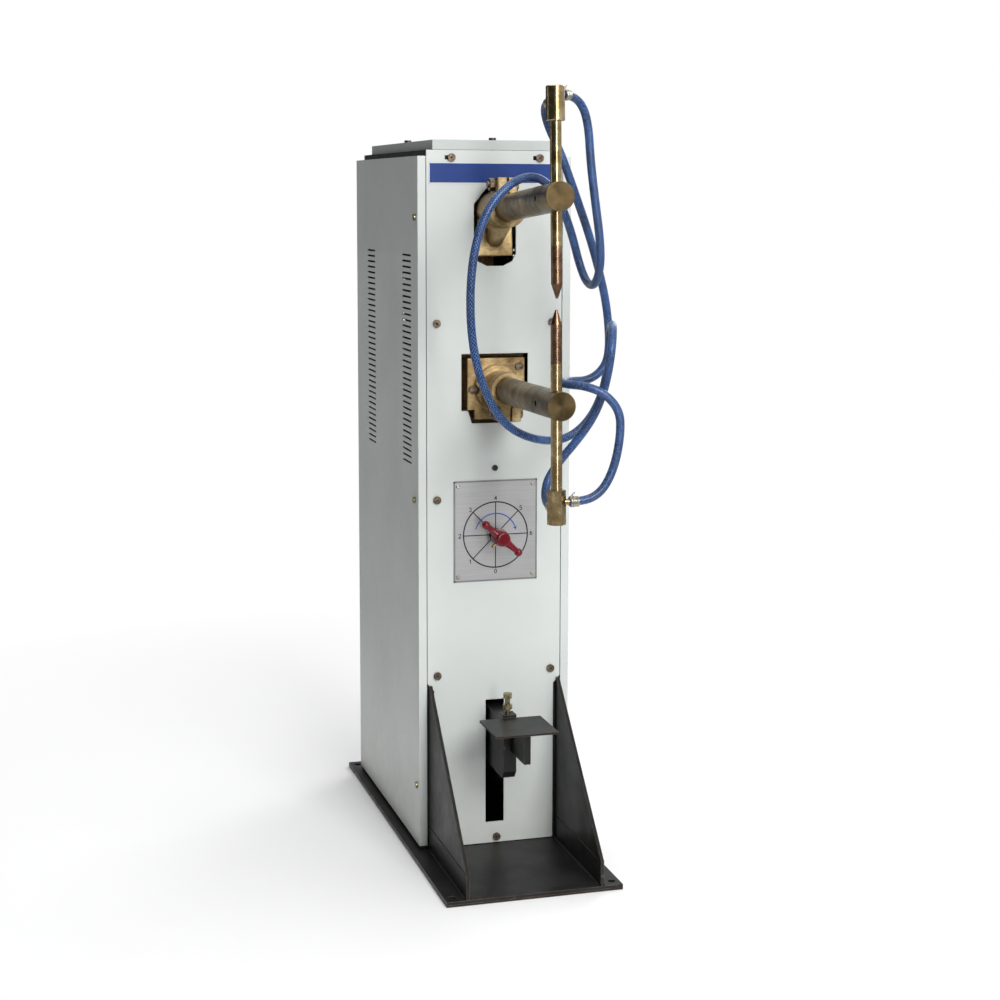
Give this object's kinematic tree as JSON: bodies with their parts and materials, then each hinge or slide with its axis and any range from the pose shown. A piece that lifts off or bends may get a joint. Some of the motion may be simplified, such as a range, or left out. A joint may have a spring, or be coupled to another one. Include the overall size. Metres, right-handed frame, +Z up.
{
  "type": "spot welder",
  "caption": "Pedestal rocker-arm spot welder: narrow louvred cabinet on a bolt-down base, two round bronze arms with copper electrodes, hoses, pedal and heat dial.",
  "frame": {"origin": "centre of the four floor bolt holes, at floor level", "axes": "+Z up, the front with the arms and pedal faces -Y, +X to the right seen from the front"},
  "size_m": [0.2736, 0.8143, 1.1677],
  "materials": {
    "black_paint": "satin, worn",
    "grey_paint": "powder coat",
    "cast_bronze": "sand cast",
    "turned_bronze": "turned",
    "brass": "polished",
    "copper": "oxidised",
    "zinc_steel": "zinc plated",
    "bright_steel": "ground",
    "spring_steel": "oiled",
    "red_plastic": "glossy",
    "black_plastic": "moulded",
    "dial_metal": "printed",
    "blue_film": "printed film",
    "hose_blue": "braided clear hose",
    "board": "laminate",
    "lamination": "laminated",
    "coil_tape": "varnished tape"
  },
  "bodies": {
    "frame": {"base_plate": "black_paint", "cable_gland": "black_plastic", "corner_posts": "black_paint", "cross_beams": "black_paint", "dial_plate": "dial_metal", "dial_rivets": "zinc_steel", "foot_bars": "black_paint", "front_panel": "grey_paint", "gusset_left": "black_paint", "gusset_right": "black_paint", "holder_cross_plate": "black_paint", "holder_screws": "zinc_steel", "hole_plug": "black_plastic", "insulating_board": "board", "lower_arm": "turned_bronze", "lower_clamp_bolt": "zinc_steel", "lower_electrode_tip": "copper", "lower_electrode_tube": "brass", "lower_holder": "cast_bronze", "lower_hose": "hose_blue", "lower_nut": "brass", "lower_wire_clamps": "zinc_steel", "name_band": "blue_film", "panel_screws": "zinc_steel", "pedal_shaft": "bright_steel", "pedal_stand": "black_paint", "pivot_bracket": "black_paint", "rear_panel": "grey_paint", "rocker_shaft": "bright_steel", "rod_guide": "black_paint", "secondary_bars": "copper", "side_cover_left": "grey_paint", "side_cover_right": "grey_paint", "side_rails": "black_paint", "side_screws": "zinc_steel", "tap_switch": "black_plastic", "top_cover": "grey_paint", "top_frame": "black_paint", "transformer_coil": "coil_tape", "transformer_core": "lamination"},
    "rocker": {"upper_holder": "cast_bronze", "upper_clamp_bolt": "zinc_steel", "tail_adjuster": "zinc_steel", "upper_arm": "turned_bronze", "upper_electrode_tip": "copper", "upper_electrode_tube": "brass", "upper_cap": "brass", "upper_wire_clamps": "zinc_steel", "upper_hose": "hose_blue", "copper_shunt": "copper", "rocker_return_spring": "spring_steel"},
    "push_rod_group": {"push_rod": "bright_steel", "pressure_spring": "spring_steel"},
    "pedal": {"pedal_lever": "black_paint", "pedal_tread": "black_paint", "tread_screw": "zinc_steel", "pedal_return_spring": "spring_steel"},
    "selector": {"knob": "red_plastic", "knob_grub_screw": "brass", "knob_spindle": "bright_steel"}
  },
  "joints": [
    {"name": "rocker_hinge", "type": "hinge", "parent": "frame", "child": "rocker", "pos_m": [0, 0.025, 0.955], "axis": [1, 0, 0], "range_deg": [0, 1.88], "stiffness_Nm_per_rad": 400, "springref_deg": -6.88, "deforming": ["copper_shunt", "rocker_return_spring"]},
    {"name": "push_rod_slide", "type": "slide", "parent": "frame", "child": "push_rod_group", "axis": [0, 0, 1], "range_m": [0, 0.0053]},
    {"name": "pedal_hinge", "type": "hinge", "parent": "frame", "child": "pedal", "pos_m": [0.001, 0.1545, 0.19], "axis": [1, 0, 0], "range_deg": [0, 10], "stiffness_Nm_per_rad": 60, "springref_deg": -22.92, "deforming": ["pedal_return_spring"]},
    {"name": "selector_turn", "type": "hinge", "parent": "frame", "child": "selector", "pos_m": [0.0015, -0.146, 0.4996], "axis": [0, -1, 0], "range_deg": [-135, 135]}
  ],
  "couplings": [
    {"joint": "pedal_hinge", "follows": "rocker_hinge", "ratio": 5.319},
    {"joint": "push_rod_slide", "follows": "rocker_hinge", "m_per_rad": 0.1594}
  ]
}
